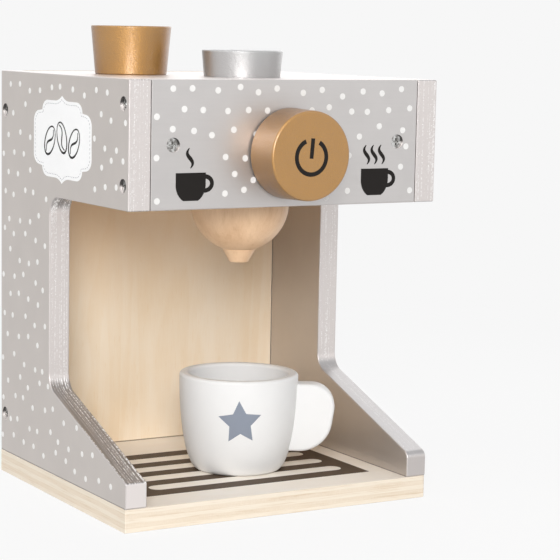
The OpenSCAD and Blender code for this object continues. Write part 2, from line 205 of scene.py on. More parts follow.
class CoffeeMakerStage(bpy.types.PropertyGroup):
    """Camera, floor and light."""

    camera_place: FloatVectorProperty(
        name="Camera", description="Place of the camera",
        default=(-512.48 * MM, -931.29 * MM, 249.80 * MM), subtype="XYZ", unit="LENGTH",
    )
    camera_yaw: angle("Yaw", "Turn of the view from +Y towards +X", 0.518)
    camera_pitch: angle("Pitch", "Rise of the view", -0.1379)
    camera_roll: angle("Roll", "Roll of the camera", 0.0173)
    lens: number("Lens", "Focal length in millimetres", 126.51)
    shift_x: number("Shift X", "Sideways shift of the lens", 0.0714)
    shift_y: number("Shift Y", "Upward shift of the lens", 0.0357)
    backdrop: number("Backdrop", "Brightness of the background", 0.93)
    ambient: number("Ambient", "Light from all round", 0.375)
    key_power: number("Key light", "Power of the light by the camera", 18.6)
    left_power: number("Left light", "Power of the large left light", 6.6)
    right_power: number("Right light", "Power of the small right light", 1.5)
    right_side_power: number("Right side light", "Power of the large right light", 5.5)
    rear_power: number("Rear light", "Power of the light behind", 9)
    shadow_share: number("Shadow", "Part of the shadow that shows", 0.15)
    floor_lift: number("Floor lift", "Light that evens out the floor", 0.06)


# Outlines: lists of 2-D points


def arc(centre, radii, start, end, steps):
    """Points of an elliptic arc. Angles are in degrees."""
    angles = [math.radians(start + (end - start) * i / steps) for i in range(steps + 1)]
    return [
        (centre[0] + radii[0] * math.cos(angle), centre[1] + radii[1] * math.sin(angle)) for angle in angles
    ]


def rounded(corners, steps=8):
    """Outline of (x, y, radius) corners, where each corner with a radius becomes an arc."""
    points = []
    for i, (x, y, radius) in enumerate(corners):
        corner = Vector((x, y))
        if radius == 0:
            points.append(tuple(corner))
            continue
        before = (Vector(corners[i - 1][:2]) - corner).normalized()
        after = (Vector(corners[(i + 1) % len(corners)][:2]) - corner).normalized()
        half = before.angle(after) / 2
        centre = corner + (before + after).normalized() * radius / math.sin(half)
        start = corner + before * radius / math.tan(half) - centre
        turn = start.angle_signed(corner + after * radius / math.tan(half) - centre)
        for step in range(steps + 1):
            angle = -turn * step / steps
            spoke = Matrix.Rotation(angle, 2) @ start
            points.append(tuple(centre + spoke))
    return points


def tapered(radius, end_radius, tall, rounding, end_rounding):
    """Profile of a turned, tapered piece with rounded edges."""
    return rounded([
        (0, 0, 0),
        (radius, 0, rounding),
        (end_radius, tall, end_rounding),
        (0, tall, 0),
    ])


def circle(centre, radius, steps):
    return arc(centre, (radius, radius), 0, 360, steps)[:-1]


def bowl_curve(low, high, rise, steps=20):
    """Quarter ellipse from (low, 0) to (high, rise), upright at its top."""
    angles = [math.pi / 2 * i / steps for i in range(steps + 1)]
    return [(low + (high - low) * math.sin(a), rise * (1 - math.cos(a))) for a in angles]


# Modelling


def activate(piece):
    """Selects one piece alone and makes it active."""
    bpy.ops.object.select_all(action="DESELECT")
    piece.select_set(True)
    bpy.context.view_layer.objects.active = piece


@contextmanager
def edit_mode(piece, select="DESELECT"):
    """Edit mode on one piece, with all or none of it selected."""
    activate(piece)
    bpy.ops.object.mode_set(mode="EDIT")
    bpy.context.tool_settings.mesh_select_mode = (False, True, False)
    bpy.ops.mesh.select_all(action=select)
    yield
    bpy.ops.object.mode_set(mode="OBJECT")


def face_outwards(piece):
    with edit_mode(piece, "SELECT"):
        bpy.ops.mesh.normals_make_consistent(inside=False)


def place_points(piece, name, points):
    """Names a new primitive and puts its vertices at these points, in order."""
    piece.name = name
    for vertex, point in zip(piece.data.vertices, points, strict=True):
        vertex.co = point
    return piece


def solid_from(name, points, rise):
    """Extrudes the flat face with these corners by a vector into a closed solid."""
    bpy.ops.mesh.primitive_circle_add(vertices=len(points), fill_type="NGON")
    piece = place_points(bpy.context.active_object, name, points)
    with edit_mode(piece, "SELECT"):
        bpy.ops.mesh.extrude_region_move(TRANSFORM_OT_translate={"value": rise})
    face_outwards(piece)
    return piece


def ribbon_from(name, left, right, rise):
    """Extrudes the strip between two rows of points by a vector into a closed solid."""
    bpy.ops.mesh.primitive_grid_add(x_subdivisions=len(left) - 1, y_subdivisions=1)
    piece = place_points(bpy.context.active_object, name, [*left, *right])
    with edit_mode(piece, "SELECT"):
        bpy.ops.mesh.remove_doubles(threshold=0.002 * MM)
        bpy.ops.mesh.extrude_region_move(TRANSFORM_OT_translate={"value": rise})
    face_outwards(piece)
    return piece


def turned(name, profile, foot, axis):
    """Spins a profile of (radius, height) points round an axis through foot into a closed solid."""
    side = axis.orthogonal().normalized()
    points = [foot + side * radius + axis * height for radius, height in profile]
    bpy.ops.mesh.primitive_circle_add(vertices=len(points), fill_type="NOTHING")
    piece = place_points(bpy.context.active_object, name, points)
    steps = bpy.context.scene.coffee_maker_turned.steps
    with edit_mode(piece, "SELECT"):
        bpy.ops.mesh.spin(steps=steps, angle=2 * math.pi, center=foot, axis=axis)
        bpy.ops.mesh.select_all(action="SELECT")
        bpy.ops.mesh.remove_doubles(threshold=0.002 * MM)
        bpy.ops.mesh.delete_loose(use_verts=True, use_edges=True, use_faces=False)
    face_outwards(piece)
    return piece


def merged_copy(node, name):
    """Copy of a CAD node with its loose triangles merged and its flat faces whole."""
    piece = bpy.data.objects.new(name, frame["nodes"][node].data.copy())
    bpy.context.scene.collection.objects.link(piece)
    piece.data.materials.clear()
    activate(piece)
    bpy.ops.mesh.customdata_custom_splitnormals_clear()
    with edit_mode(piece, "SELECT"):
        bpy.ops.mesh.remove_doubles(threshold=0.005 * MM)
        bpy.ops.mesh.dissolve_limited(angle_limit=math.radians(1))
    return piece


def copy_of(piece, name, shift):
    """Copy of a piece with its own mesh, moved by a vector."""
    twin = bpy.data.objects.new(name, piece.data.copy())
    bpy.context.scene.collection.objects.link(twin)
    twin.data.transform(Matrix.Translation(shift))
    return twin


def cut(piece, tool, operation="DIFFERENCE"):
    """Applies a Boolean between two closed pieces and removes the tool."""
    activate(piece)
    boolean = piece.modifiers.new("Cut", "BOOLEAN")
    boolean.operation = operation
    boolean.solver = "EXACT"
    boolean.object = tool
    bpy.ops.object.modifier_apply(modifier=boolean.name)
    bpy.data.objects.remove(tool)
    return piece


def join(pieces, name):
    activate(pieces[0])
    for piece in pieces:
        piece.select_set(True)
    bpy.ops.object.join()
    pieces[0].name = name
    return pieces[0]


def smooth(piece, angle=40):
    """Shades a piece smooth where its faces meet under an angle, and keeps its flat faces flat."""
    activate(piece)
    bpy.ops.object.shade_smooth_by_angle(angle=math.radians(angle))
    weighted = piece.modifiers.new("Flat faces", "WEIGHTED_NORMAL")
    weighted.keep_sharp = True
    bpy.ops.object.modifier_apply(modifier=weighted.name)
    return piece


@cache
def fastener_tree():
    """Points along every edge of the fasteners, to tell a board's holes from its outline."""
    points = []
    for mesh in (frame["nodes"][node].data for node in FASTENERS):
        for edge in mesh.edges:
            start, end = (mesh.vertices[i].co for i in edge.vertices)
            steps = max(1, math.ceil((end - start).length / MM))
            points += [start.lerp(end, step / steps) for step in range(steps + 1)]
    tree = KDTree(len(points))
    for i, point in enumerate(points):
        tree.insert(point, i)
    tree.balance()
    return tree


def bevel_sharp(piece, radius, segments, wanted=lambda place: True):
    """Bevels the sharp edges of a piece whose middles are wanted."""
    with edit_mode(piece):
        bpy.ops.mesh.edges_select_sharp(sharpness=math.radians(40))
        mesh = bmesh.from_edit_mesh(piece.data)
        for edge in [e for e in mesh.edges if e.select]:
            if not wanted((edge.verts[0].co + edge.verts[1].co) / 2):
                edge.select_set(False)
        bmesh.update_edit_mesh(piece.data)
        bpy.ops.mesh.bevel(offset=radius, segments=segments, affect="EDGES", clamp_overlap=True)


def dress(piece, *finishes, choose=lambda face: 0):
    """Gives a piece its finishes, and each of its faces the one that is chosen for it."""
    for finish in finishes:
        piece.data.materials.append(finish)
    for face in piece.data.polygons:
        face.material_index = choose(face)


def mount(piece, body, slot, *replaced):
    """Rides a finished piece on its body and hides the CAD nodes it stands for. Its slot is not used."""
    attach(piece, body)
    if replaced:
        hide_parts(*replaced)


def complete(piece, finish, body, slot, *replaced):
    """Dresses a piece in one finish all over and mounts it."""
    dress(piece, finish)
    mount(piece, body, slot, *replaced)


def foot_of(low, high):
    """The middle of a box's underside."""
    return Vector(((low.x + high.x) / 2, (low.y + high.y) / 2, low.z))


def back_of(low, high):
    """The middle of a box's back."""
    return Vector(((low.x + high.x) / 2, high.y, (low.z + high.z) / 2))


# Prints


class Face:
    """A flat place to print on: its origin, its right and up directions and its outward normal."""

    def __init__(self, origin, right, up):
        self.origin = Vector(origin)
        self.right = right
        self.up = up
        self.out = right.cross(up)

    def at(self, u, v, lift=0.0):
        return self.origin + self.right * u + self.up * v + self.out * lift

    def ink_range(self):
        """How deep a print starts, and the vector that it rises by."""
        boards = bpy.context.scene.coffee_maker_boards
        return -boards.print_depth, self.out * (boards.print_depth + boards.print_lift)

    def shape(self, name, outline):
        """A printed shape with this outline."""
        depth, rise = self.ink_range()
        return solid_from(name, [self.at(u, v, depth) for u, v in outline], rise)

    def line(self, name, middle, widths):
        """A printed line along these points, with one width or with its width at each."""
        depth, rise = self.ink_range()
        rows = ([], [])
        if not isinstance(widths, list):
            widths = [widths] * len(middle)
        closed = (Vector(middle[0]) - Vector(middle[-1])).length < SAME_PLACE
        last = len(middle) - 1
        for i, (u, v) in enumerate(middle):
            before = middle[i - 1] if i else middle[-2 if closed else 0]
            after = middle[i + 1] if i < last else middle[1 if closed else last]
            along = (Vector(after) - Vector(before)).normalized()
            across = Vector((-along.y, along.x)) * widths[i] / 2
            rows[0].append(self.at(u - across.x, v - across.y, depth))
            rows[1].append(self.at(u + across.x, v + across.y, depth))
        return ribbon_from(name, *rows, rise)


def is_whole(board, face, outline):
    """Whether an outline lies wholly on the flat face of a board, clear of its edges and holes."""
    for u, v in outline:
        hit, _, normal, _ = board.ray_cast(face.at(u, v, MM), -face.out, distance=2 * MM)
        if not hit or normal.dot(face.out) < 0.99:
            return False
    return True


def dot_field(name, board, face, size, dot, spacing, is_free, seed):
    """White dots in staggered, uneven rows, wherever a board of this size has room for a whole one."""
    margin, sway, bob = 0.3 * MM, 0.17, 0.3
    step, row_step = spacing
    columns, rows = (math.ceil(extent / pitch) + 1 for extent, pitch in zip(size, spacing))
    draw = random.Random(seed)
    first = face.shape(name, circle((0, 0), dot / 2, 20))
    dots = []
    for row in range(rows):
        for column in range(columns):
            u = (column - (columns - 1) / 2 + (row % 2) / 2) * step + draw.uniform(-sway, sway) * step
            v = (row - (rows - 1) / 2) * row_step + draw.uniform(-bob, bob) * row_step
            if is_free(u, v) and is_whole(board, face, circle((u, v), dot / 2 + margin, 10)):
                dots.append(copy_of(first, name, face.right * u + face.up * v))
    bpy.data.objects.remove(first)
    return join(dots, name)


def steam(face, u, v):
    """One wisp of steam, an S that is thin at both ends."""
    steps, lean, swing, half_tall = 24, 0.35, 1.35, 5.0
    middle = []
    widths = []
    for i in range(steps + 1):
        share = i / steps
        middle.append((
            u + (lean * (2 * share - 1) - swing * math.sin(2 * math.pi * share)) * MM,
            v + half_tall * (1 - 2 * share) * MM,
        ))
        widths.append((0.4 + 1.6 * math.sin(math.pi * share)) * MM)
    return face.line("steam", middle, widths)


def cup_icon(face, u, v, wisps, name):
    """A cup seen from the side, with wisps of steam above it. u, v is the middle of its rim."""
    width, bend, side = 16.8 * MM, 5.8 * MM, (8 * MM, 9.1 * MM)
    inset = width / 2 - side[0]
    body = [(u + width / 2, v), (u - width / 2, v)]
    body += arc((u - inset, v - bend), side, 180, 242, 12)
    body += arc((u + inset, v - bend), side, -62, 0, 12)
    handle = arc((u + width / 2 - 0.6 * MM, v - 5.4 * MM), (4.1 * MM, 3.5 * MM), 88, -100, 24)
    cup = face.shape("cup", body)
    parts = [cut(cup, face.line("handle", handle, 2.2 * MM), "UNION")]
    middle = (wisps - 1) / 2
    parts += [steam(face, u + (i - middle) * 4.6 * MM - 0.6 * MM, v + 7.2 * MM) for i in range(wisps)]
    return join(parts, name)


# Finishes


class Wire:
    """A shader socket. A Python expression on it adds Math nodes."""

    def __init__(self, finish, socket):
        self.finish = finish
        self.socket = socket

    def math(self, operation, *values):
        return self.finish.node("ShaderNodeMath", {"operation": operation}, dict(enumerate(values)))

    def __add__(self, other):
        return self.math("ADD", self, other)

    def __sub__(self, other):
        return self.math("SUBTRACT", self, other)

    def __rsub__(self, other):
        return self.math("SUBTRACT", other, self)

    def __mul__(self, other):
        return self.math("MULTIPLY", self, other)

    __radd__ = __add__
    __rmul__ = __mul__

    def __abs__(self):
        return self.math("ABSOLUTE", self)

    def wrap(self, top):
        """The value less its whole multiples of top."""
        return self.math("WRAP", self, 0.0, top)

    def above(self, low, high):
        """0 below low, 1 above high, and smooth between."""
        names = {"Value": self, "From Min": low, "From Max": high}
        return self.finish.node("ShaderNodeMapRange", {"interpolation_type": "SMOOTHSTEP"}, names)


class Nodes:
    """A shader's node tree, with one method that adds any node."""

    def __init__(self, owner):
        owner.use_nodes = True
        self.tree = owner.node_tree

    def node(self, kind, settings=None, sockets=None, output=0):
        made = self.tree.nodes.new(kind)
        for key, value in (settings or {}).items():
            if key == "stops":
                self.set_stops(made.color_ramp, value)
            else:
                setattr(made, key, value)
        for key, value in (sockets or {}).items():
            self.plug(made.inputs[key], value)
        return Wire(self, made.outputs[output])

    def plug(self, socket, value):
        if isinstance(value, Wire):
            self.tree.links.new(value.socket, socket)
        elif hasattr(value, "__len__") and len(value) == 3 and len(socket.default_value) == 4:
            socket.default_value = (*value, 1)
        else:
            socket.default_value = value

    @staticmethod
    def set_stops(ramp, stops):
        while len(ramp.elements) < len(stops):
            ramp.elements.new(1)
        for element, (place, shade) in zip(ramp.elements, stops):
            element.position = place
            element.color = (shade, shade, shade, 1)


class Finish(Nodes):
    """A Principled material whose patterns lie in the object's own space, in millimetres."""

    def __init__(self, name, **constants):
        self.material = bpy.data.materials.new(name)
        super().__init__(self.material)
        self.surface = self.tree.nodes["Principled BSDF"]
        for socket, value in constants.items():
            self.plug(self.surface.inputs[socket.replace("_", " ")], value)
        place = self.node("ShaderNodeTexCoord", output="Object")
        self.place = self.node("ShaderNodeVectorMath", {"operation": "SCALE"}, {0: place, "Scale": 1 / MM})

    def stretched(self, x, y, z):
        return self.node("ShaderNodeVectorMath", {"operation": "MULTIPLY"}, {0: self.place, 1: (x, y, z)})

    def axis(self, name):
        return self.node("ShaderNodeSeparateXYZ", None, {0: self.place}, name)

    def facing(self, name):
        """How far the surface faces along an axis, from -1 to 1."""
        normal = self.node("ShaderNodeNewGeometry", output="Normal")
        return self.node("ShaderNodeSeparateXYZ", None, {0: normal}, name)

    def noise(self, place, scale, detail=2.0, roughness=0.5, distortion=0.0):
        names = {
            "Vector": place, "Scale": scale, "Detail": detail, "Roughness": roughness,
            "Distortion": distortion,
        }
        return self.node("ShaderNodeTexNoise", None, names)

    def along(self, axis, along, across, scale, *rest):
        """Noise that is stretched along one axis, such as wood's grain."""
        scales = [along if axis == name else across for name in "xyz"]
        return self.noise(self.stretched(*scales), scale, *rest)

    def cells(self, place, scale):
        """Distance from the nearest of many scattered points."""
        return self.node("ShaderNodeTexVoronoi", None, {"Vector": place, "Scale": scale})

    def mix(self, factor, a, b):
        """A colour between a, at factor 0, and b, at factor 1."""
        return self.node("ShaderNodeMix", {"data_type": "RGBA"}, {0: factor, 6: a, 7: b}, 2)

    def shaded_at_joint(self, shade, foot, dark):
        """A colour with painted shade at the height of a joint with the board below, if there is one."""
        if foot is None:
            return shade
        return self.mix(1 - self.axis("Z").above(foot / MM + 0.45, foot / MM + 0.75), shade, dark)

    def paint(self, **wires):
        """Plugs wires into the surface, with _ for the spaces in a socket's name."""
        for socket, wire in wires.items():
            self.plug(self.surface.inputs[socket.replace("_", " ")], wire)
        return self.material

    def bumps(self, height, millimetres):
        """Surface relief from a height of 0 to 1."""
        names = {"Height": height, "Distance": millimetres * MM, "Strength": 1.0}
        self.plug(self.surface.inputs["Normal"], self.node("ShaderNodeBump", None, names))


def tint(shade, factor):
    """A colour made lighter or darker."""
    return tuple(min(1.0, part * factor) for part in shade)


def shade_of(name):
    return tuple(getattr(bpy.context.scene.coffee_maker_colours, name))


@cache
def birch_face(grain, kind="birch", shaded_top=False, foot=None):
    """Sanded birch veneer with its grain along an axis.

    It may get painted shade on its inside towards its upper end, and painted shade at the height of a joint
    at its foot.
    """
    light, dark = shade_of(f"{kind}_light"), shade_of(f"{kind}_dark")
    finish = Finish(f"{kind}_veneer_{grain}", Roughness=0.5, Coat_Weight=0.12, Coat_Roughness=0.35)
    flow = finish.along(grain, 0.12, 1, 0.028, 2, 0.45, 0.6)
    bands = (flow * 9).wrap(1.0)
    figure = bands.above(0.1, 0.75) * (1 - bands.above(0.8, 0.98))
    clouds = finish.along(grain, 0.5, 1, 0.035, 3, 0.5)
    fibres = finish.along(grain, 0.05, 1, 1.6, 3, 0.6)
    flecks = finish.along(grain, 0.12, 1, 1.1, 1, 0.5).above(0.66, 0.74)
    depth = clouds.above(0.3, 0.75) * 0.55 + figure * 0.22 + (fibres - 0.5) * 0.5 + flecks * 0.22
    finish.bumps(fibres * 0.6 + flecks * -0.5, 0.05)
    shade = finish.mix(depth, light, dark)
    if shaded_top:
        # Painted shade: the inside turns to a darker, warmer colour towards the top, under the head.
        inside = 1 - finish.facing("Y").above(-0.5, 0.5)
        shade = finish.mix(finish.axis("Z").above(70, 200) * inside * 0.9, shade, shade_of("birch_shaded_top"))
    shade = finish.shaded_at_joint(shade, foot, tint(dark, 0.35))
    return finish.paint(Base_Color=shade, Roughness=fibres * 0.16 + 0.42)


@cache
def birch_layers(thickness, low, high, foot=None):
    """Cut edge of natural plywood: veneers that cross each other, between two heights.

    A foot is the height of a joint with the board below, where the edge gets painted shade.
    """
    light, dark = shade_of("layer_light"), shade_of("layer_dark")
    finish = Finish(f"birch_layers_{thickness}", Roughness=0.6)
    one_layer = (high - low) / MM / bpy.context.scene.coffee_maker_boards.layers
    waver = finish.noise(finish.stretched(0.3, 0.3, 0.3), 0.12, 2)
    height = (finish.axis(thickness.upper()) - low / MM) * (1 / one_layer) + (waver - 0.5) * 0.35
    pair = height.wrap(2.0) - 1.0
    crossed = pair.above(-0.06, 0.06) - pair.above(0.94, 1.0)
    seam = height.wrap(1.0)
    glue = (1 - seam.above(0.0, 0.07)) + seam.above(0.95, 1.0)
    threads = finish.along(thickness, 1, 0.03, 1.5, 3, 0.65)
    lines = threads.above(0.56, 0.68)
    pores = finish.along(thickness, 0.5, 1, 1.6, 2, 0.6)
    depth = crossed * (pores * 0.35 + 0.1) + (threads - 0.5) * 0.7 + lines * 0.3 + glue * 0.25 + 0.15
    finish.bumps(crossed * pores * -0.6 - glue * 0.5 + threads * 0.6, 0.08)
    shade = finish.shaded_at_joint(finish.mix(depth, light, dark), foot, tint(dark, 0.35))
    return finish.paint(Base_Color=shade)


@cache
def panel_paint(grain, name, foot=None):
    """Metallic silver-grey paint on sanded plywood, whose grain shows faintly through.

    A foot is the height of a joint with the board below, where the paint gets painted shade.
    """
    finish = Finish(f"{name}_{grain}", Metallic=0.82, Roughness=0.4, Coat_Weight=0.15, Coat_Roughness=0.2)
    shade = shade_of(name)
    brush = finish.along(grain, 0.04, 1, 0.9, 3, 0.6)
    clouds = finish.noise(finish.place, 0.05, 2)
    flakes = finish.cells(finish.place, 3.0)
    depth = (clouds - 0.5) * 0.8 + (brush - 0.5) * 0.5 + (flakes - 0.4) * 0.25 + 0.5
    finish.bumps(brush * 0.7 + flakes * 0.2, 0.035)
    base = finish.mix(depth, tint(shade, 0.93), tint(shade, 1.06))
    base = finish.shaded_at_joint(base, foot, tint(shade, 0.5))
    return finish.paint(Base_Color=base, Roughness=brush * 0.12 + flakes * 0.1 + 0.31)


@cache
def edge_paint(thickness, rough, end=1.0, seam=None, foot=None):
    """The paint on cut edges: flakes that glitter, and lines where the cut crosses the grain. The flakes'
    white specks and the white dashes along the lines are painted glints. Faces that lean, slopes and bends,
    get painted shade, darker still in the grooves between the lines, and the rounded rims are darkened with
    painted shade that tones down their highlight.

    Rough says how strongly the lines show. The board's low front end is smooth, and lighter or
    darker by the factor end. A seam is the distance from the middle at which the board meets the
    side panels, where a thin line of painted shade lies, and a foot is the height of a joint with the
    board below, where painted shade lies.
    """
    finish = Finish(f"edge_paint_{thickness}_{rough}", Metallic=0.75)
    shade = shade_of("edge_paint")
    slope = abs(finish.facing("Z"))
    crossed = slope.above(0.15, 0.6) - slope.above(0.93, 0.99)
    rim = abs(finish.facing(thickness.upper())).above(0.05, 0.35)
    lines = finish.along(thickness, 1, 0.006, 1.5, 2, 0.6)
    dashes = finish.along(thickness, 1, 0.7, 1.0, 2, 0.6).above(0.46, 0.56)
    grain = finish.noise(finish.place, 2.2, 2, 0.6)
    specks = (1 - finish.cells(finish.place, 0.9).above(0.15, 0.24)) * lines.above(0.42, 0.56)
    streaked = crossed * rough
    is_low = 1 - finish.axis("Z").above(37, 41)
    is_front = 1 - finish.facing("Y").above(-0.9, -0.5)
    thin = 1 - is_low * is_front * (1 - crossed)
    base = finish.mix((grain - 0.5) * 1.2 + 0.5, tint(shade, 0.9), tint(shade, 1.04))
    base = finish.mix(thin, tint(shade, end), base)
    # Painted shade on the faces that lean, slopes and bends: a cooler, darker paint, a little darker where
    # the lines show less.
    slope_shade = [part * factor * (0.87 + 0.13 * rough) for part, factor in zip(shade, (0.72, 0.75, 0.775))]
    base = finish.mix(crossed, base, slope_shade)
    # Painted shade in the grooves between the lines on faces that lean.
    base = finish.mix((1 - lines.above(0.40, 0.46)) * streaked * 0.6, base, tint(shade, 0.45))
    # Painted glints: white dashes along the lines and white specks of flake, less metallic so that they
    # read bright.
    glint_weight = streaked * 1.4 + (1 - crossed) * 0.45
    scratches_and_glints = lines.above(0.54, 0.58) * dashes * glint_weight * (1 - rim)
    glint = (scratches_and_glints + specks * (streaked + 1 - crossed)) * thin
    finish.bumps(lines * (streaked * 0.9 + thin * 0.2) + grain * 0.12, 0.4)
    base = finish.mix(glint, base, (0.98, 0.97, 0.965))
    # The rounded rims are darkened: painted shade that tones down their highlight.
    base = finish.mix(rim * 0.8, base, tint(shade, 0.8))
    # A thin line of painted shade in the seam with the side panels.
    if seam is not None:
        seam_shade = abs(finish.axis("X")).above(seam / MM - 0.35, seam / MM - 0.15)
        base = finish.mix(seam_shade, base, tint(shade, 0.4))
    # Painted shade at the joint with the board below.
    base = finish.shaded_at_joint(base, foot, tint(shade, 0.75))
    return finish.paint(
        Base_Color=base, Roughness=0.4 - specks * 0.12, Metallic=0.75 - glint * crossed * 0.6
    )


@cache
def screw_hole():
    """Paint in a screw hole, with painted shade on the side that faces down and a painted highlight on the
    side that faces up.
    """
    shade = shade_of("edge_paint")
    finish = Finish("screw_hole", Metallic=0.5)
    grain = finish.noise(finish.place, 2.5, 2, 0.6)
    finish.bumps(grain, 0.08)
    return finish.paint(
        Base_Color=finish.mix(finish.facing("Z").above(-0.3, 0.5), tint(shade, 0.12), tint(shade, 1.25)),
        Roughness=grain * 0.3 + 0.3,
    )


@cache
def turned_wood():
    """Turned beech with upright grain."""
    finish = Finish("turned_wood", Roughness=0.45, Coat_Weight=0.2, Coat_Roughness=0.3)
    clouds = finish.along("z", 0.25, 1, 0.09, 3, 0.5, 0.4)
    fibres = finish.along("z", 0.05, 1, 1.3, 3, 0.6)
    flecks = finish.along("z", 0.1, 1, 1.7, 1).above(0.64, 0.72)
    streaks = finish.along("z", 0.08, 1, 0.3, 2, 0.5).above(0.5, 0.68)
    depth = clouds.above(0.3, 0.75) * 0.5 + (fibres - 0.5) * 0.55 + flecks * 0.2 + streaks * 0.25
    finish.bumps(fibres * 0.6 - flecks * 0.4, 0.05)
    return finish.paint(
        Base_Color=finish.mix(depth, shade_of("beech_light"), shade_of("beech_dark")),
        Roughness=fibres * 0.15 + 0.38,
    )


@cache
def metal_paint(name, shade, roughness, coat):
    """Metallic paint with fine flakes under a thin coat, as sprayed on the knob and capsules."""
    finish = Finish(
        f"{name}_{roughness}", Metallic=0.75, Specular_Tint=(0, 0, 0), Coat_Weight=1, Coat_IOR=coat,
        Coat_Roughness=0.34,
    )
    flakes = finish.cells(finish.place, 1.7)
    peel = finish.noise(finish.place, 1.1, 2)
    clouds = finish.noise(finish.place, 0.09, 2)
    depth = (flakes - 0.4) * 0.35 + (clouds - 0.5) * 0.5 + 0.5
    finish.bumps(peel * 0.4 + flakes * 0.6, 0.22)
    return finish.paint(
        Base_Color=finish.mix(depth, tint(shade, 0.9), tint(shade, 1.1)),
        Roughness=flakes * 0.12 + roughness - 0.05,
    )


@cache
def lacquer(name, shade, roughness, gloss):
    """Smooth opaque lacquer or ink, with the faint unevenness of a sprayed or printed coat."""
    finish = Finish(name, Roughness=roughness, Specular_IOR_Level=gloss)
    clouds = finish.noise(finish.place, 0.12, 3)
    grain = finish.noise(finish.place, 2.2, 2)
    finish.bumps(grain, 0.012)
    return finish.paint(
        Base_Color=finish.mix(clouds * 0.6 + grain * 0.4, tint(shade, 0.965), tint(shade, 1.03)),
        Roughness=grain * 0.14 + roughness - 0.07,
    )


@cache
def zinc():
    """Zinc-plated screw steel."""
    finish = Finish("zinc_steel", Metallic=1.0)
    dents = finish.noise(finish.place, 0.55, 2, 0.5).above(0.38, 0.62)
    scratches_and_glints = finish.noise(finish.place, 1.8, 3, 0.6)
    finish.bumps(dents * 0.8 + scratches_and_glints * 0.2, 0.12)
    return finish.paint(
        Base_Color=finish.mix(dents * 0.8 + scratches_and_glints * 0.3 - 0.05, (0.2, 0.19, 0.18), (0.66, 0.66, 0.65)),
        Roughness=scratches_and_glints * 0.25 + 0.16,
    )


@cache
def rubber():
    """Dark matt rubber."""
    finish = Finish("dark_rubber", Roughness=0.75)
    grain = finish.noise(finish.place, 2.0, 3)
    finish.bumps(grain, 0.04)
    return finish.paint(Base_Color=finish.mix(grain, (0.035, 0.032, 0.03), (0.085, 0.08, 0.075)))


def ink(name, factor=1):
    """The ink finish named for one of the colours, made lighter by a factor."""
    return lacquer(f"{name}_{factor}", tint(shade_of(name), factor), 0.55, 0.15)


def gold():
    return metal_paint("gold_paint", shade_of("gold_paint"), 0.45, 1.95)


# Boards


def sanded_board(node, face_finish, edge_finish, thickness, worn_round=0, is_worn=None):
    """A board with its edges sanded round and its screw holes countersunk, in place of its CAD node.

    A worn corner has its own radius, and is told from the board's other edges by its place.
    """
    boards = bpy.context.scene.coffee_maker_boards
    fasteners = fastener_tree()
    low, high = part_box(node)
    middle, half = (low + high) / 2, (high - low).dot(thickness) / 2

    def by_fastener(place):
        return fasteners.find(place)[2] < boards.hole_clearance

    def on_face(place):
        return abs(abs((place - middle).dot(thickness)) - half) < 0.02 * MM

    def choose(face):
        if abs(face.normal.dot(thickness)) > 0.95:
            return 0
        return 2 if by_fastener(face.center) else 1

    board = merged_copy(node, f"{node}_sanded")
    if is_worn:
        bevel_sharp(board, worn_round, 5, is_worn)
    bevel_sharp(board, boards.edge_round, 3, lambda place: not by_fastener(place))
    bevel_sharp(board, boards.hole_round, 2, lambda place: by_fastener(place) and on_face(place))
    smooth(board)
    dress(board, face_finish, edge_finish, screw_hole(), choose=choose)
    slots = {part["node"]: part["material_slot"] for part in frame["record"]["subparts"]}
    mount(board, "machine", slots[node], node)
    return board


class COFFEEMAKER_OT_base(bpy.types.Operator):
    """Base board with the printed grate"""

    bl_idname = "coffee_maker.base"
    bl_label = "Base board"

    def execute(self, context):
        boards = context.scene.coffee_maker_boards
        low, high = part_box("base_board")
        layers = birch_layers("z", low.z, high.z)

        def is_worn(place):
            """The upright edge at the right front corner"""
            return (place - Vector((high.x, low.y, (low.z + high.z) / 2))).length < MM

        sanded_board("base_board", birch_face("x", "base"), layers, Z, boards.base_worn, is_worn)
        top = Face((0, -boards.grate_y, high.z), X, Y)
        half_w, half_d = boards.grate_w / 2, boards.grate_d / 2
        corners = [(-half_w, -half_d), (half_w, -half_d), (half_w, half_d), (-half_w, half_d)]
        grate = top.shape("printed_grate", corners)
        slots = 4
        end = boards.slot_l / 2 - boards.slot_w / 2
        radii = (boards.slot_w / 2, boards.slot_w / 2)
        for step in range(slots):
            middle = (step - (slots - 1) / 2) * boards.slot_step
            outline = arc((end, middle), radii, -90, 90, 16) + arc((-end, middle), radii, 90, 270, 16)
            cut(grate, solid_from("slot", [top.at(u, v, -MM) for u, v in outline], top.out * 2 * MM))
        complete(grate, ink("grate_ink"), "machine", "natural_plywood")
        return {"FINISHED"}


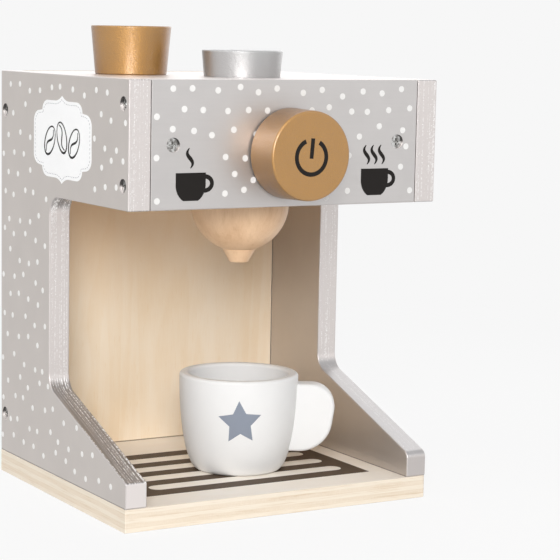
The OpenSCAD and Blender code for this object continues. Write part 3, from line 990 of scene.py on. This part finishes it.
class COFFEEMAKER_OT_sides(bpy.types.Operator):
    """Painted side panels with their dots, which keep clear of the badge's place on the left one"""

    bl_idname = "coffee_maker.sides"
    bl_label = "Side panels"

    @staticmethod
    def side(boards, name, right, rough, shine, seed):
        """One side panel, whose outer face has this direction to its right, and its dots."""
        node = f"{name}_side_panel"
        low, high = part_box(node)
        edges = edge_paint("x", rough, shine, foot=low.z)
        is_left = name == "left"

        def is_worn(place):
            """The edge where the slope meets the low front end"""
            is_middle = abs(place.x - (low.x + high.x) / 2) < MM
            return is_middle and place.y < low.y + MM and 5 * MM < place.z - low.z < 25 * MM

        worn = () if is_left else (boards.foot_worn, is_worn)
        panel = sanded_board(node, panel_paint("z", "side_paint", low.z), edges, X, *worn)
        face = Face((low.x if is_left else high.x, 0, (low.z + high.z) / 2), right, Z)
        badge_v = boards.badge_z - face.origin.z
        badge_half_w, badge_half_h = 38.5 * MM, 25 * MM

        def is_free(u, v):
            """Clear of the badge, which the left side alone has"""
            across = abs(u - boards.badge_y) / badge_half_w
            up = abs(v - badge_v) / badge_half_h
            return not is_left or across ** 4 + up ** 4 > 1

        size = (high.y - low.y, high.z - low.z)
        spacing = (boards.side_column, boards.side_row)
        dots = dot_field(f"{name}_dots", panel, face, size, boards.side_dot, spacing, is_free, seed)
        # The dots' white ink is a tenth lighter than on the front: painted light that makes up for the
        # dimmer light on the sides.
        complete(dots, ink("white_ink", 1.1), "machine", "white_paint")

    def execute(self, context):
        boards = context.scene.coffee_maker_boards
        self.side(boards, "left", -Y, rough=1, shine=1.13, seed=11)
        self.side(boards, "right", Y, rough=0.08, shine=0.78, seed=12)
        return {"FINISHED"}


class COFFEEMAKER_OT_front(bpy.types.Operator):
    """Painted front panel with its dots and cup icons"""

    bl_idname = "coffee_maker.front"
    bl_label = "Front panel"

    def execute(self, context):
        boards = context.scene.coffee_maker_boards
        low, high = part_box("front_panel")
        edges = edge_paint("y", 0.5, seam=high.x)
        panel = sanded_board("front_panel", panel_paint("x", "front_paint"), edges, Y)
        face = Face((0, low.y, (low.z + high.z) / 2), X, Z)
        icon_v = boards.icon_z - face.origin.z
        icon_half_w, icon_h, handle_shift = 13.5 * MM, 15 * MM, 1.8 * MM

        def is_free(u, v):
            """Clear of the cup icons and what is below them"""
            return abs(abs(u) - boards.icon_x) > icon_half_w or v - icon_v > icon_h

        size = (high.x - low.x, high.z - low.z)
        spacing = (boards.front_column, boards.front_row)
        dots = dot_field("front_dots", panel, face, size, boards.front_dot, spacing, is_free, 5)
        complete(dots, ink("white_ink"), "machine", "white_paint")
        for side, wisps, name in ((-1, 1, "small_cup_icon"), (1, 3, "large_cup_icon")):
            icon = cup_icon(face, side * boards.icon_x - handle_shift, icon_v, wisps, name)
            complete(icon, ink("black_ink"), "machine", "dark_rubber")
        return {"FINISHED"}


class COFFEEMAKER_OT_inner_boards(bpy.types.Operator):
    """Back panel, top board and shelf"""

    bl_idname = "coffee_maker.inner_boards"
    bl_label = "Back, top and shelf"

    def execute(self, context):
        low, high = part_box("back_panel")
        layers = birch_layers("y", low.y, high.y, low.z)
        sanded_board("back_panel", birch_face("z", shaded_top=True, foot=low.z), layers, Y)
        low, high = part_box("shelf_board")
        sanded_board("shelf_board", birch_face("x"), birch_layers("z", low.z, high.z), Z)
        sanded_board("top_board", panel_paint("x", "edge_paint"), edge_paint("z", 0.5), Z)
        return {"FINISHED"}


class COFFEEMAKER_OT_badge(bpy.types.Operator):
    """White badge on the left side, with a fine broken line and three coffee beans"""

    bl_idname = "coffee_maker.badge"
    bl_label = "Badge"

    @staticmethod
    def outline():
        """The badge's outline round its own middle: four like quarters of two arcs and a peak each."""
        quarter = arc((28.3 * MM, 8.6 * MM), (7.5 * MM, 5.7 * MM), 0, 90, 10)
        quarter += arc((17.8 * MM, 14.7 * MM), (7.0 * MM, 5.3 * MM), 0, 90, 10)
        quarter += arc((8.5 * MM, 34.7 * MM), (14.7 * MM, 14.7 * MM), -90, -125.3, 6)
        left = [(-u, v) for u, v in reversed(quarter[:-1])]
        top = quarter + left
        return top + [(u, -v) for u, v in reversed(top)]

    @staticmethod
    def broken_line(face, outline, dash, gap, width):
        """Short dashes along a closed outline."""
        points = [Vector(p) for p in outline]
        points.append(points[0])
        dashes = []
        travelled = 0.0
        for start, end in zip(points, points[1:]):
            step = end - start
            while travelled < step.length:
                middle = start + step.normalized() * travelled
                half = step.normalized() * dash / 2
                ends = [tuple(middle - half), tuple(middle + half)]
                dashes.append(face.line("dash", ends, width))
                travelled += dash + gap
            travelled -= step.length
        return dashes

    @staticmethod
    def bean(face, u, v, lean):
        """A coffee bean drawn with one pen: its rim and its curved split."""
        long, short = 8.4 * MM, 5.4 * MM
        steps, split_length, split_swing = 24, 0.86, 0.34
        turn = Matrix.Rotation(math.radians(lean), 2)
        rim = arc((0, 0), (long, short), 0, 360, 2 * steps)
        split = [
            (
                long * split_length * (2 * i / steps - 1),
                short * split_swing * math.sin(2 * math.pi * i / steps),
            )
            for i in range(steps + 1)
        ]
        parts = []
        for name, line in (("rim", rim), ("split", split)):
            line = [tuple(Vector((u, v)) + turn @ Vector(p)) for p in line]
            last = len(line) - 1
            widths = [(0.75 + 0.5 * math.sin(math.pi * i / last) ** 2) * MM for i in range(last + 1)]
            parts.append(face.line(name, line, widths))
        return parts

    def execute(self, context):
        boards = context.scene.coffee_maker_boards
        low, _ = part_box("left_side_panel")
        face = Face((low.x, -boards.badge_y, boards.badge_z), -Y, Z)
        badge = face.shape("badge", self.outline())
        complete(badge, ink("badge_paper"), "machine", "white_paint")
        face.origin += face.out * boards.print_lift
        narrower, lower = 0.945, 0.915
        inner = [(u * narrower, v * lower) for u, v in self.outline()]
        line = join(self.broken_line(face, inner, 1.2 * MM, 0.9 * MM, 0.32 * MM), "badge_line")
        complete(line, ink("line_ink"), "machine", "dark_rubber")
        beans = []
        for u, v, lean in ((-15, -1.0, 52), (0, 1.2, 118), (15, -1.0, 52)):
            beans += self.bean(face, u * MM, v * MM, lean)
        complete(join(beans, "badge_beans"), ink("black_ink"), "machine", "dark_rubber")
        return {"FINISHED"}


# Turned pieces


class COFFEEMAKER_OT_brew_head(bpy.types.Operator):
    """Turned dome that hangs below the head, and its spout"""

    bl_idname = "coffee_maker.brew_head"
    bl_label = "Brew head"

    def execute(self, context):
        sizes = context.scene.coffee_maker_turned
        low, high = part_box("brew_head")
        radius = (high.x - low.x) / 2
        foot = foot_of(low, high)
        centre_up = sizes.dome_centre - low.z
        spout_low, spout_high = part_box("spout")
        spout_radius = (spout_high.x - spout_low.x) / 2
        start = math.degrees(math.asin(spout_radius / radius))
        dome = [(0, 0)] + arc((0, centre_up), (radius, radius), start - 90, 0, 40)
        profile = dome + rounded([
            (radius, centre_up, 0),
            (radius, high.z - low.z, 0.5 * MM),
            (0, high.z - low.z, 0),
        ])[1:]
        head = smooth(turned("brew_head_turned", profile, foot, Z))
        complete(head, turned_wood(), "machine", "turned_wood", "brew_head")
        tip = sizes.spout_tip / 2
        profile = rounded([
            (0, -sizes.spout_length, 0),
            (tip, -sizes.spout_length, 0.9 * MM),
            (spout_radius, -0.35 * MM, 0.3 * MM),
            (spout_radius, 0, 0),
            (0, 0, 0),
        ])
        spout = smooth(turned("spout_turned", profile, foot, Z))
        complete(spout, turned_wood(), "machine", "turned_wood", "spout")
        return {"FINISHED"}


class COFFEEMAKER_OT_knob(bpy.types.Operator):
    """Gold knob with its printed power symbol, and the spacer behind it"""

    bl_idname = "coffee_maker.knob"
    bl_label = "Knob"

    def execute(self, context):
        sizes = context.scene.coffee_maker_turned
        low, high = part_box("knob")
        foot = back_of(low, high)
        long = high.y - low.y
        back, front = (high.x - low.x) / 2, sizes.knob_front / 2
        profile = tapered(back, front, long, 0.6 * MM, sizes.knob_round)
        knob = smooth(turned("knob_turned", profile, foot, -Y))
        complete(knob, gold(), "turning_knob", "gold_paint", "knob")
        face = Face((foot.x, low.y, foot.z - 0.6 * MM), X, Z)
        gap = math.degrees(sizes.symbol_gap)
        turn = math.degrees(sizes.symbol_turn)
        radius = sizes.symbol / 2
        top = 90 - turn
        ring = arc((0, 0), (radius, radius), top + gap, top + 360 - gap, 72)
        up = Vector((math.cos(math.radians(top)), math.sin(math.radians(top))))
        bar = [tuple(up * radius * share) for share in (-0.08, 1.1)]
        lines = [face.line(name, line, sizes.symbol_line) for name, line in (("ring", ring), ("bar", bar))]
        complete(join(lines, "power_symbol"), ink("black_ink"), "turning_knob", "dark_rubber")
        self.spacer()
        return {"FINISHED"}

    @staticmethod
    def spacer():
        low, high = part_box("knob_spacer")
        axle_low, axle_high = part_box("knob_axle")
        radius = (high.x - low.x) / 2
        clearance = 0.06 * MM
        bore = (axle_high.x - axle_low.x) / 2 + clearance
        thick = high.y - low.y
        profile = [(bore, 0), (radius, 0), (radius, thick), (bore, thick)]
        spacer = smooth(turned("knob_spacer_ring", profile, back_of(low, high), -Y))
        complete(spacer, rubber(), "machine", "dark_rubber", "knob_spacer")


class COFFEEMAKER_OT_capsules(bpy.types.Operator):
    """The gold capsule on the top and the silver one in its hole"""

    bl_idname = "coffee_maker.capsules"
    bl_label = "Capsules"

    def execute(self, context):
        sizes = context.scene.coffee_maker_turned
        silver = metal_paint("silver_paint", shade_of("silver_metal"), 0.42, 2.3)
        for node, body, slot, finish in (
            ("gold_capsule", "loose_capsule", "gold_paint", gold()),
            ("silver_capsule", "seated_capsule", "silver_paint", silver),
        ):
            low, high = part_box(node)
            bottom, top, edge = sizes.capsule_bottom / 2, (high.x - low.x) / 2, sizes.capsule_round
            profile = tapered(bottom, top, high.z - low.z, edge, edge)
            capsule = smooth(turned(f"{node}_turned", profile, foot_of(low, high), Z))
            complete(capsule, finish, body, slot, node)
        return {"FINISHED"}


# Cup


class COFFEEMAKER_OT_cup(bpy.types.Operator):
    """White cup with its paddle handle and printed star"""

    bl_idname = "coffee_maker.cup"
    bl_label = "Cup"

    @staticmethod
    def outside(sizes, rim, tall, grow=0.0):
        """Profile of the cup's outside, from the middle of its foot to the top of its wall."""
        curve = bowl_curve(sizes.foot / 2, rim, tall - sizes.lip_round)
        points = [(0, 0)] + rounded([
            (0, 0, 0),
            (curve[0][0], 0, sizes.foot_round),
            (*curve[2], 0),
        ])[1:-1]
        points += curve[2:-1]
        points += rounded([(rim, 0, 0), (rim, tall, sizes.lip_round), (0, tall, 0)])[1:-1]
        return [(radius + grow * (radius > 0), height) for radius, height in points]

    @staticmethod
    def inside(sizes, rim, tall):
        """Profile of the cup's inside, from the top of its wall down to the middle of its floor."""
        mouth = rim - sizes.wall
        deep = tall - sizes.floor
        lip = rounded([(2 * rim, tall, 0), (mouth, tall, sizes.lip_round), (mouth, 0, 0)])[1:-1]
        curve = bowl_curve(sizes.well / 2, mouth, deep - sizes.lip_round)
        return lip + [(radius, height + sizes.floor) for radius, height in reversed(curve[:-1])] + [
            (0, sizes.floor)
        ]

    @staticmethod
    def handle(sizes, rim, tall):
        """Solid handle in the cup's own frame, with its inner end sunk in the wall."""
        top = tall - sizes.handle_down
        bottom = top - sizes.handle_height
        end = rim + sizes.handle_reach
        low_root, high_root = 24.4 * MM, 28.8 * MM
        outline = rounded([
            (low_root, bottom, 0),
            (end - sizes.handle_lean, bottom, sizes.handle_lower),
            (end, top, sizes.handle_upper),
            (high_root, top, 0),
        ], 14)
        corners = [Vector((u, sizes.handle_thick / 2, v)) for u, v in outline]
        handle = solid_from("cup_handle_shaped", corners, -Y * sizes.handle_thick)
        bevel_sharp(handle, sizes.handle_round, 3)
        return smooth(handle)

    @staticmethod
    def star(sizes, rim, skin):
        """Star that follows the cup's side: a prism cut by the cup's slightly grown skin.

        Its two lower points stand a little closer together than those of an even star.
        """
        depth, inner = 4.6 * MM, 0.5
        closer = {4: 3.5, 6: -3.5}
        points = []
        for i in range(10):
            radius = sizes.star * (inner if i % 2 else 1)
            turn = math.radians(90 + i * 36 + closer.get(i, 0)) + sizes.star_turn
            u = sizes.star_side + radius * math.cos(turn)
            points.append(Vector((u, -rim, sizes.star_up + radius * math.sin(turn))))
        star = solid_from("printed_star", points, Y * depth)
        return cut(star, skin, "INTERSECT")

    def execute(self, context):
        sizes = context.scene.coffee_maker_cup
        lift = context.scene.coffee_maker_boards.print_lift
        low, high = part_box("cup")
        rim = (high.x - low.x) / 2
        tall = high.z - low.z
        white = lacquer("white_lacquer", shade_of("white_lacquer"), 0.5, 0.25)
        profile = self.outside(sizes, rim, tall) + self.inside(sizes, rim, tall)
        cup = smooth(turned("cup_turned", profile, Vector(), Z), 50)
        handle = self.handle(sizes, rim, tall)
        skin = turned("skin", self.outside(sizes, rim, tall, lift) + [(0, tall)], Vector(), Z)
        star = smooth(self.star(sizes, rim, skin))
        place = Matrix.Translation(foot_of(low, high)) @ Matrix.Rotation(-sizes.turn, 4, "Z")
        for piece, finish, *node in (
            (cup, white, "cup"), (handle, white, "cup_handle"), (star, ink("star_ink"))
        ):
            piece.data.transform(place)
            complete(piece, finish, "play_cup", "white_paint", *node)
        return {"FINISHED"}


class COFFEEMAKER_OT_hardware(bpy.types.Operator):
    """Finishes of the screws, the axle's fastening and the dowels"""

    bl_idname = "coffee_maker.hardware"
    bl_label = "Screws and dowels"

    def execute(self, context):
        for node in (*FASTENERS, "knob_retainer"):
            finish = turned_wood() if node in ("knob_axle", "top_dowels") else zinc()
            for slot in frame["nodes"][node].material_slots:
                slot.material = finish
        return {"FINISHED"}


# Stage


class COFFEEMAKER_OT_stage(bpy.types.Operator):
    """Pale floor, soft studio light and camera"""

    bl_idname = "coffee_maker.stage"
    bl_label = "Stage"

    @staticmethod
    def seen(nodes):
        """1 for rays that show the background: camera, glossy and transmission rays."""
        kinds = ("Is Camera Ray", "Is Glossy Ray", "Is Transmission Ray")
        camera, glossy, through = (nodes.node("ShaderNodeLightPath", output=kind) for kind in kinds)
        total = camera + glossy + through
        return total.math("MINIMUM", total, 1.0)

    def world(self, stage):
        world = bpy.data.worlds.new("studio")
        bpy.context.scene.world = world
        nodes = Nodes(world)
        seen = self.seen(nodes)
        background = nodes.tree.nodes["Background"]
        nodes.plug(background.inputs["Color"], (1, 1, 1))
        nodes.plug(background.inputs["Strength"], seen * stage.backdrop + (1 - seen) * stage.ambient)

    def floor(self, stage):
        """Paper that shows the backdrop's white, and near the toy keeps a part of its shadow."""
        bpy.ops.mesh.primitive_plane_add(size=60)
        floor = bpy.context.active_object
        floor.name = "floor"
        material = bpy.data.materials.new("floor")
        nodes = Nodes(material)
        nodes.tree.nodes.clear()
        place = nodes.node("ShaderNodeTexCoord", output="Object")
        distance = nodes.node("ShaderNodeVectorMath", {"operation": "LENGTH"}, {0: place}, "Value")
        near = 1 - distance.above(200 * MM, 700 * MM)
        seen = self.seen(nodes)
        paper = nodes.node("ShaderNodeBsdfDiffuse", None, {"Color": (0.86, 0.86, 0.86)})
        strength = near * stage.floor_lift + stage.backdrop
        glow = nodes.node("ShaderNodeEmission", None, {"Color": (1, 1, 1), "Strength": strength})
        share = seen * (1 - near * stage.shadow_share)
        both = nodes.node("ShaderNodeMixShader", None, {0: share, 1: paper, 2: glow})
        end = nodes.tree.nodes.new("ShaderNodeOutputMaterial")
        nodes.plug(end.inputs["Surface"], both)
        floor.data.materials.append(material)

    @staticmethod
    def camera(stage):
        yaw, pitch, roll = stage.camera_yaw, stage.camera_pitch, stage.camera_roll
        ahead = Vector((math.sin(yaw) * math.cos(pitch), math.cos(yaw) * math.cos(pitch), math.sin(pitch)))
        level = Vector((math.cos(yaw), -math.sin(yaw), 0))
        upright = level.cross(ahead)
        right = level * math.cos(roll) + upright * math.sin(roll)
        up = upright * math.cos(roll) - level * math.sin(roll)
        bpy.ops.object.camera_add(location=stage.camera_place)
        camera = bpy.context.active_object
        camera.rotation_euler = Matrix((right, up, -ahead)).transposed().to_euler()
        camera.data.lens = stage.lens
        camera.data.sensor_width = 36
        camera.data.shift_x = stage.shift_x
        camera.data.shift_y = stage.shift_y
        camera.data.clip_start = 0.01
        camera.data.clip_end = 200
        bpy.context.scene.camera = camera

    @staticmethod
    def soft_light(name, azimuth, elevation, distance, size, power):
        """An area light aimed at the middle of the toy, which only its light shows."""
        turn, rise = math.radians(azimuth), math.radians(elevation)
        away = Vector((math.sin(turn) * math.cos(rise), -math.cos(turn) * math.cos(rise), math.sin(rise)))
        middle = Vector((0, 0, 120 * MM))
        bpy.ops.object.light_add(type="AREA", location=middle + away * distance)
        light = bpy.context.active_object
        light.name = name
        light.rotation_euler = away.to_track_quat("Z", "Y").to_euler()
        light.data.shape = "DISK"
        light.data.size = size
        light.data.energy = power
        light.visible_camera = False

    def execute(self, context):
        stage = context.scene.coffee_maker_stage
        context.scene.view_settings.view_transform = "Standard"
        self.world(stage)
        self.floor(stage)
        for name, azimuth, elevation, distance, size, power in (
            ("key", -30, 20, 1.7, 0.7, stage.key_power),
            ("left_fill", -85, 35, 1.9, 2.2, stage.left_power),
            ("right_fill", 40, 20, 1.9, 1.2, stage.right_power),
            ("right_side_fill", 118, 10, 1.9, 1.6, stage.right_side_power),
            ("rear_fill", 150, 40, 1.9, 2.2, stage.rear_power),
        ):
            self.soft_light(name, azimuth, elevation, distance, size, power)
        self.camera(stage)
        return {"FINISHED"}


class COFFEEMAKER_PT_panel(bpy.types.Panel):
    """Buttons that build the toy, in order"""

    bl_label = "Coffee Maker"
    bl_idname = "COFFEEMAKER_PT_panel"
    bl_space_type = "VIEW_3D"
    bl_region_type = "UI"
    bl_category = "Coffee Maker"

    def draw(self, context):
        for operator in OPERATORS:
            self.layout.operator(operator.bl_idname)


GROUPS = {
    "coffee_maker_boards": CoffeeMakerBoards,
    "coffee_maker_turned": CoffeeMakerTurned,
    "coffee_maker_cup": CoffeeMakerCup,
    "coffee_maker_colours": CoffeeMakerColours,
    "coffee_maker_stage": CoffeeMakerStage,
}
OPERATORS = (
    COFFEEMAKER_OT_stage,
    COFFEEMAKER_OT_base,
    COFFEEMAKER_OT_sides,
    COFFEEMAKER_OT_front,
    COFFEEMAKER_OT_inner_boards,
    COFFEEMAKER_OT_badge,
    COFFEEMAKER_OT_brew_head,
    COFFEEMAKER_OT_knob,
    COFFEEMAKER_OT_capsules,
    COFFEEMAKER_OT_cup,
    COFFEEMAKER_OT_hardware,
)
CLASSES = (*GROUPS.values(), *OPERATORS, COFFEEMAKER_PT_panel)


def register():
    for made in CLASSES:
        bpy.utils.register_class(made)
    for name, group in GROUPS.items():
        setattr(bpy.types.Scene, name, PointerProperty(type=group))


def unregister():
    for name in GROUPS:
        delattr(bpy.types.Scene, name)
    for made in reversed(CLASSES):
        bpy.utils.unregister_class(made)


def main():
    register()
    for operator in OPERATORS:
        group, name = operator.bl_idname.split(".")
        getattr(getattr(bpy.ops, group), name)()


if __name__ == "__main__":
    main()
